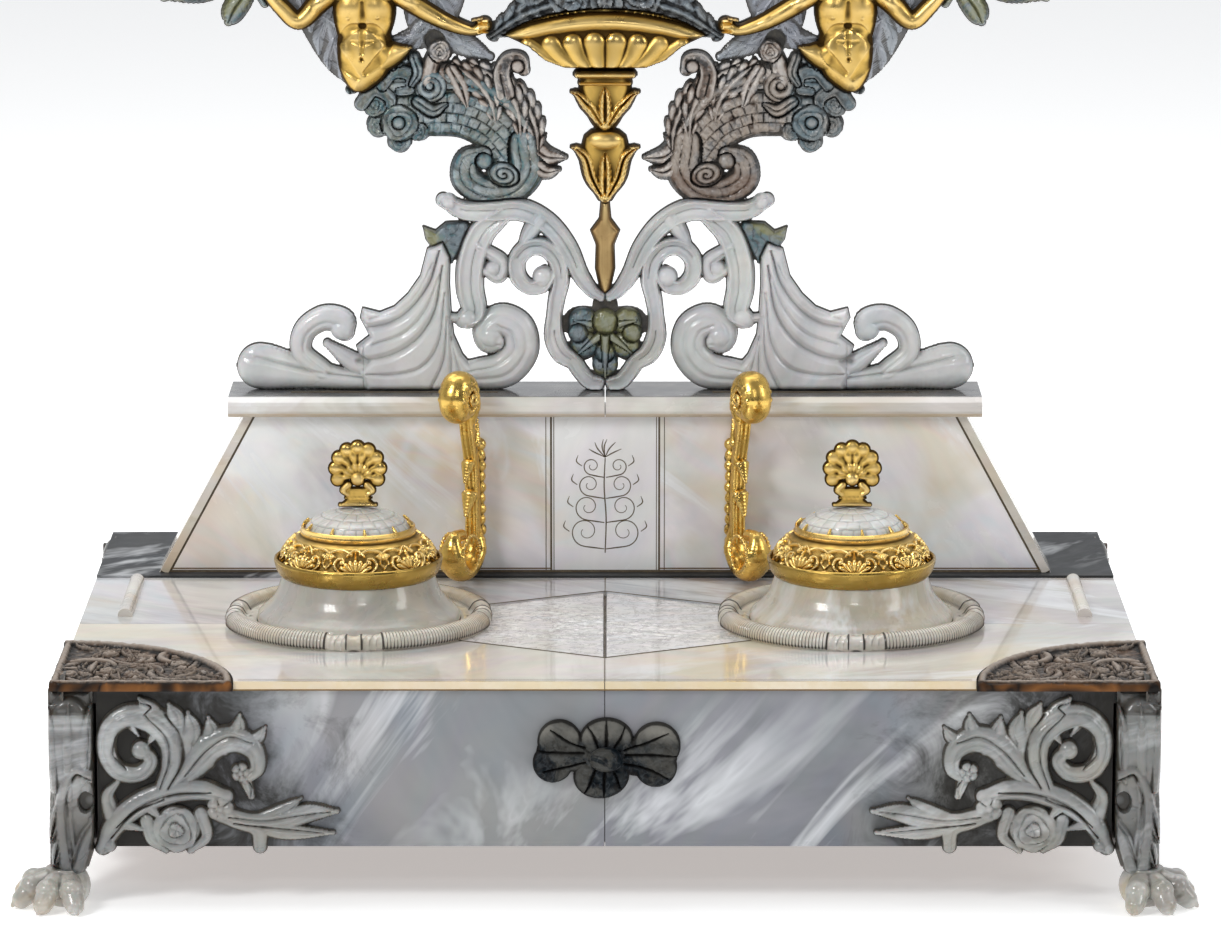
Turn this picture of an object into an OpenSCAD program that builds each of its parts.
/* [Base] */
// Width of the deck, side to side
deck_w = 256; // [240:1:270]
// Depth of the deck, front to back
deck_d = 166; // [160:1:180]
// Height of the deck's top face above the table
deck_z = 54; // [52:1:58]
// Height of the box's underside above the table
box_z = 14; // [13:0.5:15]
// Thickness of the shell plates
plate_t = 2; // [1.5:0.1:2.2]
// Radius of the carved plaques on the front corners
plaque_r = 43; // [38:1:46]

/* [Inkwells] */
// Distance from the middle to each inkwell's axis
well_x = 60; // [58:1:64]
// Place of the inkwells' axes, front to back
well_y = -20; // [-26:1:-18]
// Outer radius of the carved ring round an inkwell
ring_r = 32; // [30:0.5:33]
// Radius of the bell's foot
foot_r = 24.8; // [23:0.1:25]
// Outer radius of the glass liner
liner_r = 14.2; // [12:0.1:14.2]

/* [Riser] */
// Half width of the riser at the deck
riser_foot = 112.5; // [105:0.5:114]
// Half width of the riser at the cornice
riser_top = 90.5; // [86:0.5:92]
// Height of the riser's front above the rear deck plates
riser_h = 40.4; // [38:0.1:42]
// Depth of the riser with its plates
riser_d = 17; // [15:0.5:20]

/* [Crest] */
// Thickness of the pierced pearl scrolls
scroll_t = 3.5; // [3:0.1:4]
// Thickness of the metal sheet behind the crest
backing_t = 1.5; // [1:0.1:2]

/* [Hidden] */
$fn = 48;

hair = 0.1;                       // half of a seam between two plates
front_y = -deck_d / 2;            // the deck's front edge
board_x = deck_w / 2 - 3.5;       // outer faces of the wooden carcass, left and right
board_y = deck_d / 2 - 3;         // outer faces of the wooden carcass, front and back
side_t = 4.5;                     // thickness of the carcass sides
cavity_x = board_x - side_t;      // half width of the drawer's space
skin_x = board_x + plate_t;       // outer faces of the side plates
board_t = 4;                      // thickness of the deck board, the bottom and the back
under_z = deck_z - plate_t;       // underside of the deck plates
deck_board_z = under_z - board_t; // underside of the deck board

lozenge_y = -22;                  // the lozenge's side points, and the seam across the deck
lozenge_x = 70;
lozenge_half = 36;
rear_seam_y = 30;                 // where the rear deck plate begins
rear_z = deck_z + 0.6;            // the rear deck plate stands a little proud

riser_y = 34;                     // front face of the riser's plates
cornice_z = rear_z + riser_h;     // underside of the cornice
cornice_h = 5;
crest_z = cornice_z + cornice_h;  // what the crest stands on
cornice_x = 94.5;
cornice_y = [30, 55];

back_y = 42.5;                    // front face of the crest's metal backing
scroll_y = back_y - scroll_t;
wing_t = 1.5;
wing_y = back_y - wing_t;
tail_t = 3.2;
torso_t = 4.5;
tenon_w = 20;
tenon_xs = [-50, 50];
play = 0.1;                       // clearance of the tenons and studs in their holes

stud_r = 1;
drawer_gap = 0.4;
drawer_x = cavity_x - 0.8;
drawer_back_y = 70;
tray_z = box_z + board_t + drawer_gap;
wall_t = 3;

// ---- bands: tapered curves given as [across, up, width] ----

function between(a, b, c, d, t) = 0.5 * (2 * b + (c - a) * t
    + (2 * a - 5 * b + 4 * c - d) * t * t + (3 * b - a - 3 * c + d) * t * t * t);
function smooth(p, n) = [
    for (i = [0 : len(p) - 2]) for (k = [0 : n - 1])
        between(p[max(i - 1, 0)], p[i], p[i + 1], p[min(i + 2, len(p) - 1)], k / n),
    p[len(p) - 1]];
function left_of(a, b) = let (d = [b[0] - a[0], b[1] - a[1]]) [-d[1], d[0]] / norm(d);

module band(p, n = 3) {
    s = smooth(p, n);
    last = len(s) - 1;
    for (q = s) translate([q[0], q[1]]) circle(d = max(q[2], 0.6), $fn = 10);
    for (i = [0 : last - 1]) {
        a = s[i];
        b = s[i + 1];
        m = left_of(a, b);
        polygon([
            [a[0], a[1]] + m * a[2] / 2, [a[0], a[1]] - m * a[2] / 2,
            [b[0], b[1]] - m * b[2] / 2, [b[0], b[1]] + m * b[2] / 2]);
    }
}

// joins what is drawn inside it into clean outlines
module merged(grow = 0.01) { offset(delta = grow) children(); }
// stands a flat drawing up, facing the front, from y to y + t
module upright(y, t) { translate([0, y + t, 0]) rotate([90, 0, 0]) linear_extrude(t) children(); }
module on_both_sides() { children(); mirror([1, 0, 0]) children(); }
module box(low, high) { translate(low) cube(high - low); }

// ---- carcass ----

module carcass_bottom() {
    color("saddlebrown")
    box([-cavity_x, front_y + 8.5, box_z], [cavity_x, board_y, box_z + board_t]);
}

module carcass_sides() {
    color("saddlebrown") on_both_sides()
    box([cavity_x, -board_y, box_z], [board_x, board_y, deck_board_z]);
}

module carcass_back() {
    color("saddlebrown")
    box([-cavity_x, board_y - board_t, box_z + board_t], [cavity_x, board_y, deck_board_z]);
}

module deck_board() {
    color("saddlebrown")
    box([-board_x, -board_y + 0.5, deck_board_z], [board_x, board_y, under_z]);
}

module side_plates() {
    color("lightgray") on_both_sides()
    box([board_x, -board_y, box_z], [skin_x, board_y, under_z]);
}

module back_plate() {
    color("lightgray")
    box([-cavity_x, board_y, box_z], [cavity_x, board_y + plate_t, under_z]);
}

// ---- legs and paws; drawn for the front left corner ----

leg_out = deck_w / 2 + 2.5;
leg_front = front_y - 3;
leg_in = cavity_x;

module leg_face(inner, outer) {
    merged() {
        polygon([
            [-outer, under_z - 0.02], [-inner - 0.02, under_z - 0.02], [-inner - 0.02, box_z - 0.5],
            [-inner - 1.5, 9.02], [-outer + 1, 9.02], [-outer, box_z + 2]]);
        band([[-outer + 2, box_z + 3, 4], [-outer + 1.6, box_z - 3.4, 3]]);
    }
}

module leg() {
    difference() {
        union() {
            upright(leg_front, -board_y - leg_front) leg_face(leg_in, leg_out);
            rotate([0, 0, -90]) mirror([1, 0, 0])
                upright(-leg_out, leg_out - skin_x) leg_face(66, -leg_front);
        }
        box([-board_x, -board_y, box_z - 3], [0, 0, deck_z]);
    }
}
module leg_front_left() { color("gainsboro") leg(); }
module leg_front_right() { color("gainsboro") mirror([1, 0, 0]) leg(); }
module leg_rear_left() { color("gainsboro") mirror([0, 1, 0]) leg(); }
module leg_rear_right() { color("gainsboro") mirror([1, 0, 0]) mirror([0, 1, 0]) leg(); }

paw_at = [-127.5, -82];
module paw() {
    intersection() {
        hull() {
            translate([paw_at[0], paw_at[1], 9.2]) sphere(4.4, $fn = 20);
            translate([paw_at[0] + 1, paw_at[1] + 1, 4]) sphere(5, $fn = 20);
            for (a = [-60, -20, 20, 60])
                translate([paw_at[0], paw_at[1], 3.2])
                    rotate([0, 0, 225 + a]) translate([9.6, 0, 0]) sphere(3.6, $fn = 20);
        }
        box([-160, -120, 0], [0, 0, 9]);
    }
}

module paw_feet() {
    color("ivory")
    for (sx = [0, 1]) for (sy = [0, 1]) mirror([sx, 0, 0]) mirror([0, sy, 0]) paw();
}

// ---- carved sprays; u runs inwards from the leg's outer face, z is the height ----

SPRAY = [
    [[11, 15, 4], [15, 20, 6], [22, 25, 6], [30, 26.5, 5], [38, 24.5, 4]],
    [[20.2, 37, 4], [21.9, 33.6, 5], [18.3, 32.7, 5.5], [14.4, 35, 5], [12.6, 39, 4.5], [14, 44, 4.5],
        [19, 46.4, 4], [24, 44.9, 6], [27.8, 40, 7], [28.3, 35, 6], [26.4, 30.7, 5], [24.5, 28, 5]],
    [[28.8, 28.5, 5], [31.2, 33.6, 7], [34, 38, 7], [37.9, 41, 6], [42.6, 41, 5], [46.9, 38.5, 4.5],
        [47.7, 34.6, 4], [45.5, 31.7, 3.5]],
    [[24, 45, 4], [23, 49.5, 1]],
    [[28, 41, 5], [28, 48, 1]],
    [[32, 37, 5], [31.5, 47, 1]],
    [[36, 40, 5], [38.5, 45.5, 1]],
    [[42, 41, 4], [45.8, 43.6, 1]],
    [[40, 22.5, 5], [48.4, 21.2, 4], [55.5, 22, 5], [66, 24, 2]],
    [[44, 21, 4], [50, 19.6, 3], [57, 19, 4], [64, 17.4, 2]],
    [[51, 21, 3], [52.7, 25, 1]],
    [[55, 22, 3], [57.5, 26.4, 1]],
    [[43.6, 21.4, 4], [47, 19, 4], [47.4, 15.6, 4]],
    [[19, 20, 4], [25, 17.6, 6], [30, 18, 10.5], [36, 19.5, 5], [40, 22.5, 6], [40.5, 25, 6.5]],
    [[45.5, 31.5, 4], [46.5, 27.5, 2]]];
spray_t = 3;

module spray_outline() { merged() for (p = SPRAY) band(p, 3); }

module spray_at_front() {
    upright(front_y + 1 - spray_t, spray_t) translate([-leg_out + 2.4, 0]) spray_outline();
}

module drawer_sprays() { color("gainsboro") on_both_sides() spray_at_front(); }

module spray_at_side() {
    translate([-skin_x - spray_t + 0.5, 0, 0]) rotate([90, 0, 90]) linear_extrude(spray_t - 0.5)
        translate([-deck_d / 2 + 8.6, 0]) spray_outline();
}

module side_sprays() {
    color("gainsboro") on_both_sides() { spray_at_side(); mirror([0, 1, 0]) spray_at_side(); }
}

// ---- deck ----

module plaque_outline(grow = 0) {
    translate([-deck_w / 2 - 2, front_y - 1.5]) intersection() {
        circle(plaque_r + grow, $fn = 96);
        square(plaque_r + grow);
    }
}

module lozenge_outline(grow = 0) {
    polygon([
        [-hair, lozenge_y - lozenge_half - grow], [-lozenge_x - grow, lozenge_y],
        [-hair, lozenge_y + lozenge_half + grow]]);
}

module deck_half(low_y, high_y) {
    translate([0, 0, under_z]) linear_extrude(plate_t) difference() {
        translate([-deck_w / 2, low_y]) square([deck_w / 2 - hair, high_y - low_y]);
        lozenge_outline(hair);
        plaque_outline(hair);
    }
}

module deck_front_plates() { color("whitesmoke") on_both_sides() deck_half(front_y, lozenge_y - hair); }
module deck_middle_plates() {
    color("whitesmoke") on_both_sides() deck_half(lozenge_y + hair, rear_seam_y - hair);
}
module deck_rear_plate() {
    color("lightsteelblue")
    box([-deck_w / 2, rear_seam_y, under_z], [deck_w / 2, -front_y, rear_z]);
}
module deck_lozenge() {
    color("white") on_both_sides() translate([0, 0, under_z]) linear_extrude(plate_t) lozenge_outline();
}
module corner_plaques() {
    color("sienna") on_both_sides() translate([0, 0, under_z]) linear_extrude(plate_t + 0.8)
        plaque_outline();
}

module pen_rails() {
    color("linen") on_both_sides() translate([-117.5, -14, deck_z]) difference() {
        translate([0, 0, 0.2]) rotate([-90, 0, 0]) cylinder(r = 1.8, h = 40);
        box([-3, -1, -3], [3, 41, 0]);
    }
}

// ---- inkwells; drawn on the axis, with z above the table ----

module at_well(s) { translate([s * well_x, well_y, 0]) children(); }

module saucer_ring() {
    rotate_extrude($fn = 96) difference() {
        union() {
            translate([ring_r - 2.3, deck_z + 1.1]) circle(2.3);
            translate([foot_r + 0.5, deck_z]) square([ring_r - foot_r - 3, 1.2]);
        }
        translate([0, deck_z - 10]) square([50, 10]);
    }
}
module saucer_rings() { color("linen") for (s = [-1, 1]) at_well(s) saucer_ring(); }

bell_top = 66;
bore_r = liner_r + 0.4;
module bell() {
    z = deck_z + 0.3;
    rotate_extrude($fn = 96) difference() {
        polygon([
            [0, z], [foot_r - 0.6, z], [foot_r, z + 0.8], [foot_r, z + 2.2], [foot_r - 1, z + 3.2],
            [foot_r - 2.6, z + 4.6], [foot_r - 4.1, z + 6.4], [foot_r - 5.2, z + 8.4],
            [foot_r - 6, bell_top - 1.2], [foot_r - 6.3, bell_top], [0, bell_top]]);
        translate([-1, deck_z + 3]) square([bore_r + 1, 30]);
    }
}

bezel_rim = 20.6;
module bezel() {
    rotate_extrude($fn = 96) polygon([
        [bore_r, bell_top], [18.9, bell_top], [19.7, bell_top + 1], [20.3, bell_top + 2.4],
        [bezel_rim, bell_top + 4.2], [20.2, bell_top + 4.7], [19.7, bell_top + 4.4],
        [19.7, bell_top + 2.3], [17, bell_top + 2.3], [17, bell_top + 1.2], [bore_r, bell_top + 1.2]]);
}

module liner() {
    floor_z = deck_z + 3.3;
    rotate_extrude($fn = 96) polygon([
        [0, floor_z], [liner_r - 1, floor_z], [liner_r, floor_z + 1], [liner_r, bell_top + 1.5],
        [16.4, bell_top + 1.5], [16.4, bell_top + 2.3], [liner_r - 1.4, bell_top + 2.3],
        [liner_r - 1.4, floor_z + 2.4], [liner_r - 2.4, floor_z + 1.5], [0, floor_z + 1.5]]);
}

lid_z = bell_top + 2.6;
collar_r = 13.9;
module lid_ring() {
    rotate_extrude($fn = 96) polygon([
        [18, lid_z], [19.2, lid_z], [19.3, lid_z + 2], [18.9, lid_z + 3.6], [17.8, lid_z + 5.4],
        [16, lid_z + 7.2], [14.6, lid_z + 8.2], [collar_r, lid_z + 8.8], [collar_r, lid_z + 10],
        [collar_r - 0.6, lid_z + 10.3], [13.15, lid_z + 9.2], [13.15, lid_z + 8], [12, lid_z + 8],
        [12, lid_z + 7.2], [13.6, lid_z + 7], [16, lid_z + 5.4], [17.4, lid_z + 3.4]]);
}

dome_base = lid_z + 8.05;
dome_r = 13.05;
dome_rise = 6.1;
dome_ball = (dome_r * dome_r + dome_rise * dome_rise) / (2 * dome_rise);
module lid_dome() {
    difference() {
        intersection() {
            translate([0, 0, dome_base + dome_rise - dome_ball]) sphere(dome_ball, $fn = 96);
            translate([0, 0, dome_base]) cylinder(r = dome_r, h = 20);
        }
        translate([0, 0, dome_base - 1]) cylinder(r = stud_r + play / 2, h = 20);
    }
}

// a scallop of seven lobes on a waisted foot, with a stud down through the dome
module finial() {
    base = dome_base + dome_rise;
    upright(-1.8, 3.6) translate([0, base]) {
        for (a = [-78 : 26 : 78]) translate([5 * sin(a), 9.2 + 5.6 * cos(a)]) circle(2.05, $fn = 32);
        translate([0, 9]) circle(5.4, $fn = 48);
        polygon([[-4.7, 0.03], [4.7, 0.03], [3, 2.2], [3.4, 6], [-3.4, 6], [-3, 2.2]]);
    }
    translate([0, 0, dome_base - 2]) cylinder(r = stud_r, h = dome_rise + 3);
}

module bell_left() { color("white") at_well(-1) bell(); }
module bell_right() { color("white") at_well(1) bell(); }
module bezel_left() { color("gold") at_well(-1) bezel(); }
module bezel_right() { color("gold") at_well(1) bezel(); }
module liner_left() { color("aliceblue") at_well(-1) liner(); }
module liner_right() { color("aliceblue") at_well(1) liner(); }
module lid_ring_left() { color("gold") at_well(-1) lid_ring(); }
module lid_ring_right() { color("gold") at_well(1) lid_ring(); }
module lid_dome_left() { color("white") at_well(-1) lid_dome(); }
module lid_dome_right() { color("white") at_well(1) lid_dome(); }
module finial_left() { color("gold") at_well(-1) finial(); }
module finial_right() { color("gold") at_well(1) finial(); }

// ---- riser ----

module riser_outline(inset = 0) {
    polygon([
        [-riser_foot + inset, rear_z], [riser_foot - inset, rear_z],
        [riser_top - inset, cornice_z], [-riser_top + inset, cornice_z]]);
}
bracket_x = 31;
stud_zs = [66, 84];
center_x = 13.5;

module stud_holes(r) {
    for (s = [-1, 1]) for (z = stud_zs)
        translate([s * bracket_x, riser_y - 1, z]) rotate([-90, 0, 0]) cylinder(r = r, h = 6.5);
}

module riser_core() {
    color("saddlebrown") difference() {
        upright(riser_y + plate_t, riser_d - 2 * plate_t) riser_outline(2.4);
        stud_holes(stud_r + play / 2);
    }
}
module riser_wing_plates() {
    color("whitesmoke") difference() {
        upright(riser_y, plate_t) difference() {
            riser_outline();
            translate([-center_x, 0]) square([2 * center_x, 200]);
        }
        stud_holes(stud_r + play / 2);
    }
}
module riser_center_plate() {
    color("white")
    box([-center_x + hair, riser_y, rear_z], [center_x - hair, riser_y + plate_t, cornice_z]);
}
module riser_end_plates() {
    color("linen") upright(riser_y + plate_t, riser_d - 2 * plate_t) difference() {
        riser_outline();
        riser_outline(2.4);
    }
}
module riser_back_plate() {
    color("lightgray") upright(riser_y + riser_d - plate_t, plate_t) riser_outline();
}

// ---- cornice ----

module cornice() {
    depth = cornice_y[1] - cornice_y[0];
    color("linen") difference() {
        on_both_sides() translate([-hair, cornice_y[0], cornice_z]) rotate([0, -90, 0])
            linear_extrude(cornice_x - hair) polygon([
                [0, 1.2], [0.6, 0.4], [1.6, 0], [3, 0], [3.8, 0.6], [cornice_h, 2.6],
                [cornice_h, depth - 2], [cornice_h - 2, depth], [0, depth]]);
        for (x = tenon_xs) translate([0, -play, 0])
            box([x - tenon_w / 2 - play, back_y, cornice_z - 1],
                [x + tenon_w / 2 + play, back_y + backing_t + 2 * play, crest_z + 1]);
    }
}

// ---- crest; left half, [across, above the cornice, width] ----

SCROLLS = [
    [[-38.5, 13, 5], [-42, 6, 7], [-52, 2.8, 5.4], [-66, 2.6, 5], [-79, 4.2, 7.5], [-86, 6, 11.6]],
    [[-70, 4, 4], [-75.6, 9, 3.6], [-75.4, 14.5, 4.2], [-71.8, 18.6, 5.4], [-67, 18.4, 6.4],
        [-65.2, 16.4, 5.4]],
    [[-56, 4, 4], [-64, 6.4, 4.4], [-70.4, 12, 3.2]],
    [[-40.6, 34, 4.4], [-43.4, 25, 6.6], [-48, 18, 8], [-54, 15.6, 8], [-60.4, 17, 6]],
    [[-39.6, 28, 4], [-41.6, 18, 7], [-46.5, 11.5, 8.4], [-53.5, 8.6, 8], [-60, 8, 7]],
    [[-39.8, 31, 3.6], [-39.8, 22, 3.4], [-38.6, 13, 4], [-38.4, 3, 7]],
    [[-40, 48, 3.4], [-35, 45.6, 4.6], [-28, 45.6, 5], [-21, 45.8, 5.2], [-14.5, 42.4, 5], [-9.6, 36.4, 4.6],
        [-6.4, 29.6, 4], [-3.4, 25.4, 3.2], [-1.6, 24.2, 2.4]],
    [[-26.5, 44, 4], [-31, 39.6, 5.4], [-33.4, 33, 5.4], [-33.6, 26, 5.6], [-31.6, 20.6, 5.6]],
    [[-31.5, 34.5, 3], [-27.8, 34.2, 3.2], [-25.6, 31.4, 3.4], [-27.6, 28.6, 3.6], [-29.4, 30.6, 3.4]],
    [[-17, 43, 4], [-19, 40, 3], [-20.6, 37.4, 1]],
    [[-14.9, 28.8, 4.6], [-16.2, 26.6, 3.8], [-19.4, 26.4, 3.6], [-22, 29.3, 4], [-22, 33.4, 4.2],
        [-19, 36.4, 4.4], [-15, 36.2, 4.4], [-12, 33, 4.4], [-11.2, 28.3, 4.2], [-12.2, 23.2, 3.8],
        [-12.8, 18.6, 3.6], [-12.8, 13.4, 4.6], [-11, 9.4, 4.8], [-8, 7.2, 4], [-6.2, 4.6, 3.8],
        [-4, 2.2, 4], [-2.2, 1.8, 3.4]],
    [[-39, 3.6, 6.6], [-33, 3.6, 7], [-26, 4.6, 8.4], [-21.6, 9, 8.2], [-21.8, 14.6, 8.2],
        [-25.6, 17.6, 8], [-29, 15.4, 7.6], [-29, 12.6, 6.6], [-27, 12.4, 5]],
    [[-38.6, 19.2, 3], [-32, 19.2, 3.4]]];

module scroll_outline() {
    intersection() {
        merged() for (p = SCROLLS) band(p);
        translate([-100, 0.02]) square([100 - 0.1, 100]);
    }
}
module scrolls() { upright(scroll_y, scroll_t) translate([0, crest_z]) scroll_outline(); }
module crest_left() { color("white") scrolls(); }
module crest_right() { color("white") mirror([1, 0, 0]) scrolls(); }

module block_outline() {
    polygon([
        [-45.5, 41.4], [-42.4, 40.4], [-39.6, 42.4], [-37.4, 43], [-36.6, 38], [-37, 34.8],
        [-38.6, 36.4], [-41.2, 36.6], [-44.4, 38.4]]);
}
module crest_blocks() {
    color("darkcyan") on_both_sides() upright(scroll_y + 1, scroll_t - 1) translate([0, crest_z])
        merged() difference() {
            block_outline();
            merged(0.15) for (p = SCROLLS) band(p);
        }
}

VINE = [
    [[0, 20.6, 6], [0, 12, 7], [0, 5.6, 5.4]],
    [[0, 17, 6], [-6, 17.6, 6.6], [-8, 16.6, 4]],
    [[0, 14, 6], [-5.4, 11, 6.4]]];
module vine_outline() { merged() on_both_sides() for (p = VINE) band(p); }
module vine_leaf() {
    color("darkslategray") upright(scroll_y + 0.8, scroll_t - 0.8) translate([0, crest_z])
        difference() {
            vine_outline();
            on_both_sides() merged(0.15) for (p = SCROLLS) band(p);
        }
}

spear_top = 48;
module spear_outline() {
    polygon([
        [-0.9, 24], [-2.4, 31], [-2.2, 37], [-3.6, 40.6], [-1.4, 43.6], [-1, spear_top],
        [1, spear_top], [1.4, 43.6], [3.6, 40.6], [2.2, 37], [2.4, 31], [0.9, 24]]);
}
module spear() {
    color("peru") upright(scroll_y + 1.6, scroll_t - 1.6) translate([0, crest_z]) difference() {
        spear_outline();
        merged(0.12) { vine_outline(); on_both_sides() for (p = SCROLLS) band(p); }
    }
}

// a calyx of height h standing at z, seen from the front
module calyx_outline(z, h, r) {
    polygon([
        [-0.12 * r, z], [-0.42 * r, z + 0.12 * h], [-0.58 * r, z + 0.5 * h], [-r, z + 0.78 * h],
        [-0.86 * r, z + 0.82 * h], [-0.5 * r, z + 0.76 * h], [-0.48 * r, z + h], [0.48 * r, z + h],
        [0.5 * r, z + 0.76 * h], [0.86 * r, z + 0.82 * h], [r, z + 0.78 * h], [0.58 * r, z + 0.5 * h],
        [0.42 * r, z + 0.12 * h], [0.12 * r, z]]);
}
calyx_zs = [spear_top + 0.1, 66.2];
calyx_hs = [18, 15.6];
module bellflowers() {
    color("gold") upright(back_y - 4.6, 4.6) translate([0, crest_z]) {
        for (i = [0, 1]) calyx_outline(calyx_zs[i], calyx_hs[i], 8);
    }
}

bowl_z = calyx_zs[1] + calyx_hs[1];
bowl_r = 25.6;
rim_z = bowl_z + 8.4;
module bowl_outline() {
    polygon([
        [-10, bowl_z + 0.1], [-15, bowl_z + 2], [-19, bowl_z + 5.4], [-bowl_r, rim_z],
        for (a = [-60 : 10 : 60]) [bowl_r * sin(a) / sin(60) * 0.98, rim_z + 13 * (cos(a) - 0.5)],
        [bowl_r, rim_z], [19, bowl_z + 5.4], [15, bowl_z + 2], [10, bowl_z + 0.1]]);
}
module tazza() { color("gold") upright(back_y - 5.5, 5.5) translate([0, crest_z]) bowl_outline(); }

module bouquet_outline() {
    merged() difference() {
        union() {
            for (a = [-70 : 20 : 70])
                translate([19.5 * sin(a), rim_z + 8 + 15 * cos(a)]) circle(6.4, $fn = 40);
            translate([0, rim_z + 10]) circle(15, $fn = 60);
            on_both_sides() band([[-12, rim_z + 8, 10], [-20, rim_z + 5, 8], [-27, rim_z + 0.6, 4]]);
        }
        offset(delta = 0.15) bowl_outline();
        on_both_sides() merged(0.3) for (p = concat(TORSO, WINGS)) band(p);
        translate([-40, 0]) square([80, bowl_z + 3]);
    }
}
module bouquet() { color("teal") upright(back_y - 5, 5) translate([0, crest_z]) bouquet_outline(); }

// ---- winged figures ----

TORSO = [
    [[-60.4, 103, 13], [-60, 97, 15.6], [-60.2, 90, 13.4], [-60.6, 84, 12.6], [-60.8, 79.4, 5]],
    [[-55, 86, 6], [-50.5, 85.2, 2.4]],
    [[-66.6, 102.6, 6], [-71.5, 98, 5.6], [-76.2, 93.8, 4.8], [-80.4, 97, 4.4], [-84.6, 102, 3.6],
        [-86.4, 105, 4]],
    [[-54, 102.4, 6], [-48.6, 98.6, 5.4], [-42.6, 95, 4.8], [-37, 92.4, 3.8], [-33, 91.4, 3],
        [-30.6, 92.4, 3.8]],
    [[-60.2, 103, 5.6], [-60.2, 108.6, 5], [-60.2, 112.4, 9], [-60.2, 115, 8.8]]];
module torso_outline() { merged() for (p = TORSO) band(p); }
module torso() { upright(wing_y - torso_t, torso_t) translate([0, crest_z]) torso_outline(); }
module torso_left() { color("gold") torso(); }
module torso_right() { color("gold") mirror([1, 0, 0]) torso(); }

WINGS = [
    [[-62.8, 78.6, 3], [-66.4, 84, 7], [-68.8, 92, 12], [-72, 101, 15], [-77, 110, 15], [-83, 118, 11],
        [-88, 125, 4]],
    [[-50.8, 88.4, 3.4], [-45, 90.6, 7], [-43, 98, 14], [-42, 107, 16], [-41, 116, 13], [-39, 124, 7],
        [-38, 128, 3]],
    [[-44, 92, 5], [-36, 88, 6], [-29.4, 84.8, 2]]];
module wing_outline() { merged() for (p = WINGS) band(p); }
module wings() {
    color("lightsteelblue") on_both_sides() upright(wing_y, wing_t) translate([0, crest_z])
        difference() {
            wing_outline();
            merged(0.15) for (p = TAIL) band(p);
        }
}

TAIL = [
    [[-56, 74, 12], [-50.5, 75.4, 17], [-43.5, 75.2, 17.4], [-34, 73.6, 18.4], [-25.6, 69.4, 17],
        [-21.4, 62.4, 15], [-23.4, 55.8, 12.4], [-28, 53.2, 11.4], [-33.4, 54.6, 9.6], [-34.8, 58.4, 8],
        [-31.2, 60, 6.4]],
    [[-20, 61, 7], [-15, 58.4, 4.6], [-10.6, 59.4, 1.2]],
    [[-25, 75, 5], [-21.8, 80.6, 4], [-21.6, 83.6, 5.6]],
    [[-43, 82, 5], [-41.8, 86, 4.4], [-42.4, 88.4, 4.6]],
    [[-54, 70, 8], [-50.6, 65.4, 10.6]],
    [[-58.4, 75, 4], [-57.4, 69, 5]]];
module tail_outline() {
    difference() {
        merged() for (p = TAIL) band(p);
        merged(0.15) for (p = SCROLLS) band(p);
        merged(0.15) for (p = TORSO) band(p);
    }
}
module tail() { upright(back_y - tail_t, tail_t) translate([0, crest_z]) tail_outline(); }
module tail_left() { color("cadetblue") tail(); }
module tail_right() { color("dimgray") mirror([1, 0, 0]) tail(); }

LAUREL = [
    [[-85.2, 98.6, 2], [-89, 105, 2.4], [-95, 112, 2.4], [-102, 117, 2]],
    [[-88, 102, 3], [-92, 97, 6], [-93.6, 93.8, 2]],
    [[-90, 106, 3], [-99, 102, 7], [-109, 99.6, 2]],
    [[-94, 110, 3], [-102, 108, 6.4], [-110, 107, 2]],
    [[-92, 108, 3], [-91, 114, 6], [-92, 120, 2]],
    [[-98, 114, 3], [-98.6, 119, 5.6], [-101, 124, 2]],
    [[-101, 116, 3], [-107, 116.6, 5.4], [-112, 118, 2]]];
module laurel_outline() {
    difference() {
        merged() for (p = LAUREL) band(p);
        merged(0.15) { for (p = TORSO) band(p); for (p = WINGS) band(p); }
    }
}
module laurel_branches() {
    color("darkslategray") on_both_sides() upright(back_y - 2.6, 2.6) translate([0, crest_z])
        laurel_outline();
}

// the sheet behind everything that stands on the cornice, in two halves that meet in the middle
module backing_half() {
    upright(back_y, backing_t) {
        translate([0, crest_z]) intersection() {
            merged(0.3) {
                for (p = concat(SCROLLS, TAIL, TORSO, WINGS, LAUREL)) band(p, 3);
                block_outline();
                vine_outline();
                spear_outline();
                for (i = [0, 1]) calyx_outline(calyx_zs[i], calyx_hs[i], 8);
                bowl_outline();
                bouquet_outline();
            }
            translate([-150, 0]) square([150 - hair / 2, 200]);
        }
        translate([tenon_xs[0] - tenon_w / 2, cornice_z + 0.4]) square([tenon_w, cornice_h]);
    }
}
module crest_backing() { color("dimgray") on_both_sides() backing_half(); }

// ---- pen brackets; [forwards, height, width], turned a little outwards ----

BRACKET = [
    [[12.6, 96.8, 4], [16, 98.8, 5], [16.4, 104, 5.4], [12.6, 106, 5.4], [9.2, 102.6, 4.8],
        [9, 97, 4.6], [7.6, 90.6, 4.6], [5.4, 84, 4.4], [4.6, 76, 4.4], [4.4, 68, 4.4],
        [5.2, 61.6, 4.6], [9, 57.8, 5], [14.4, 57.6, 5], [17.8, 61.6, 5], [17.4, 66.4, 4.6],
        [14.8, 67.8, 3.4]],
    [[2.3, 86, 3], [2.6, 74, 4], [2.4, 60, 3.6]]];
bracket_w = 5;
bracket_turn = 24;

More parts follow.
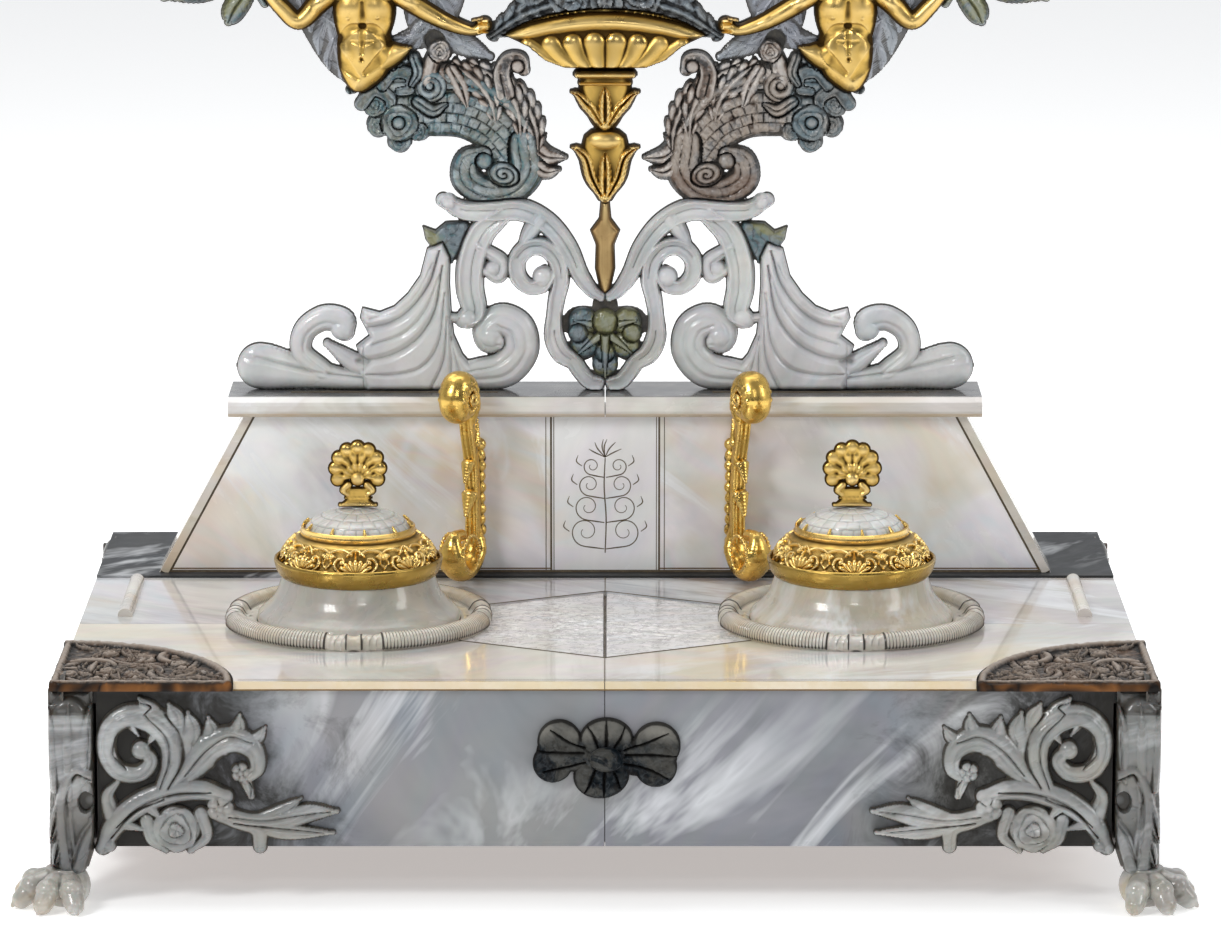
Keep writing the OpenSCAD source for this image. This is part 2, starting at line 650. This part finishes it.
module pen_bracket() {
    translate([-bracket_x, riser_y, 0]) {
        intersection() {
            rotate([0, 0, -bracket_turn]) translate([-bracket_w / 2, 0, 0]) rotate([90, 0, 90])
                linear_extrude(bracket_w) mirror([1, 0]) merged() for (p = BRACKET) band(p);
            box([-60, -60, deck_z + 0.6], [60, 0, 130]);
        }
        for (z = stud_zs) translate([0, -2, z]) rotate([-90, 0, 0]) cylinder(r = stud_r, h = 7);
    }
}

module pen_bracket_left() { color("gold") pen_bracket(); }
module pen_bracket_right() { color("gold") mirror([1, 0, 0]) pen_bracket(); }

// ---- drawer ----

module drawer_bottom() {
    color("saddlebrown")
    box([-drawer_x, -board_y + 5, tray_z], [drawer_x, drawer_back_y, tray_z + 2]);
}
module drawer_walls() {
    top_z = deck_board_z - 4;
    color("saddlebrown") {
        on_both_sides()
            box([-drawer_x, -board_y + 5, tray_z + 2], [-drawer_x + wall_t, drawer_back_y, top_z]);
        box([-drawer_x + wall_t, drawer_back_y - wall_t, tray_z + 2],
            [drawer_x - wall_t, drawer_back_y, top_z]);
    }
}
module pull_hole(r) {
    translate([0, front_y - 2, 36]) rotate([-90, 0, 0]) cylinder(r = r, h = 11.5);
}
module drawer_front_board() {
    color("saddlebrown") difference() {
        box([-drawer_x, -board_y, box_z + 0.5], [drawer_x, -board_y + 5, deck_board_z - drawer_gap]);
        pull_hole(1.6);
    }
}
module drawer_plates() {
    color("lightgray") difference() {
        on_both_sides()
            box([-drawer_x, -board_y - plate_t, box_z], [-hair, -board_y, under_z - drawer_gap]);
        pull_hole(1.6);
    }
}

PULL = [
    [[-4, 37, 8], [-12, 39.4, 8.4], [-13.6, 38, 6]],
    [[-4, 35.4, 8], [-11, 34.4, 8], [-14, 34.4, 5.6]],
    [[0, 38, 9], [0, 41.4, 7.6]],
    [[0, 34, 10], [0, 31, 9]]];
module drawer_pull() {
    color("midnightblue") {
        upright(front_y - 3, 4) merged() {
            for (p = PULL) band(p);
            mirror([1, 0]) for (p = PULL) band(p);
        }
        difference() {
            translate([0, front_y - 2.5, 36]) sphere(4.4);
            box([-9, -board_y - plate_t, 20], [9, 0, 50]);
        }
        translate([0, front_y - 1, 36]) rotate([-90, 0, 0]) cylinder(r = 1.5, h = 9);
    }
}

// ---- one line for each node ----

carcass_bottom();
carcass_sides();
carcass_back();
deck_board();
side_plates();
back_plate();
leg_front_left();
leg_front_right();
leg_rear_left();
leg_rear_right();
paw_feet();
side_sprays();
deck_front_plates();
deck_middle_plates();
deck_rear_plate();
deck_lozenge();
corner_plaques();
pen_rails();
saucer_rings();
riser_core();
riser_wing_plates();
riser_center_plate();
riser_end_plates();
riser_back_plate();
cornice();
crest_backing();
crest_left();
crest_right();
crest_blocks();
vine_leaf();
spear();
bellflowers();
tazza();
bouquet();
torso_left();
torso_right();
wings();
tail_left();
tail_right();
laurel_branches();
pen_bracket_left();
pen_bracket_right();
drawer_bottom();
drawer_walls();
drawer_front_board();
drawer_plates();
drawer_pull();
drawer_sprays();
bell_left();
bezel_left();
liner_left();
lid_ring_left();
lid_dome_left();
finial_left();
bell_right();
bezel_right();
liner_right();
lid_ring_right();
lid_dome_right();
finial_right();
